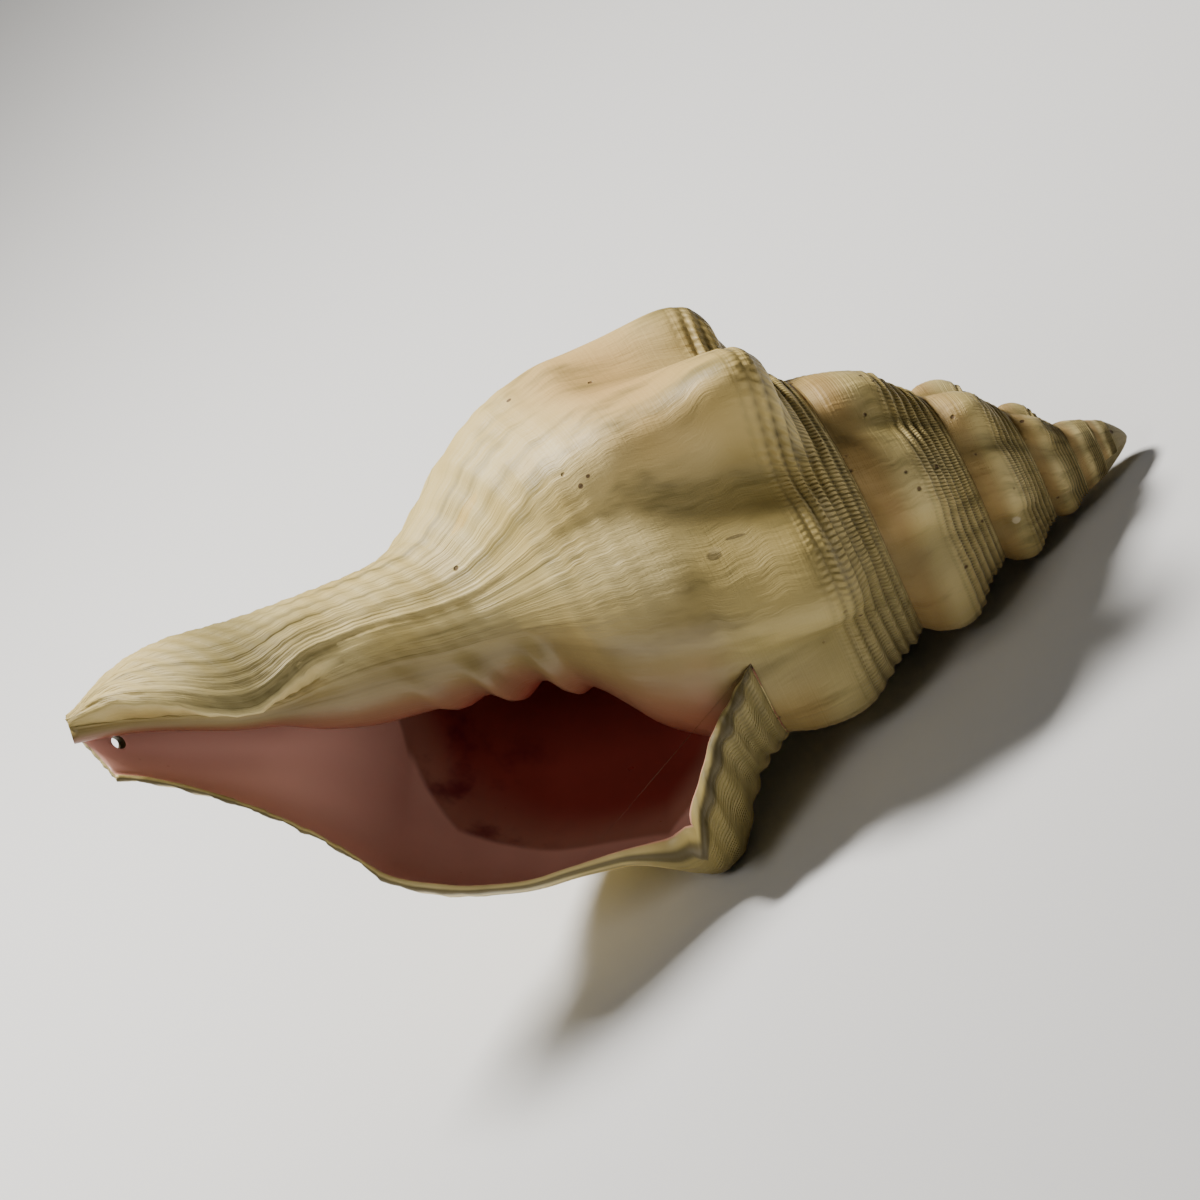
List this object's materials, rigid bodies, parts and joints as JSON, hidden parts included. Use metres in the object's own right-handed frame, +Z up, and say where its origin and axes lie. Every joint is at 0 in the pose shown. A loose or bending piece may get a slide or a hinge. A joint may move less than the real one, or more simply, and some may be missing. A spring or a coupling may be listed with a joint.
{
  "type": "knobbed chank sea shell",
  "caption": "Large knobbed chank sea shell with a stepped spire, folded columella, wide open aperture and long open canal drilled at its end.",
  "frame": {"origin": "centre of the bounding box in X and Y, on the plane the shell rests on", "axes": "+Z up from that plane, +X along the shell's length towards the apex, the aperture opens towards -Y"},
  "size_m": [0.271, 0.1338, 0.1446],
  "materials": {
    "shell": "chalky cream outside with pink, satin aperture"
  },
  "bodies": {
    "root": {"shell": "shell"}
  },
  "joints": []
}
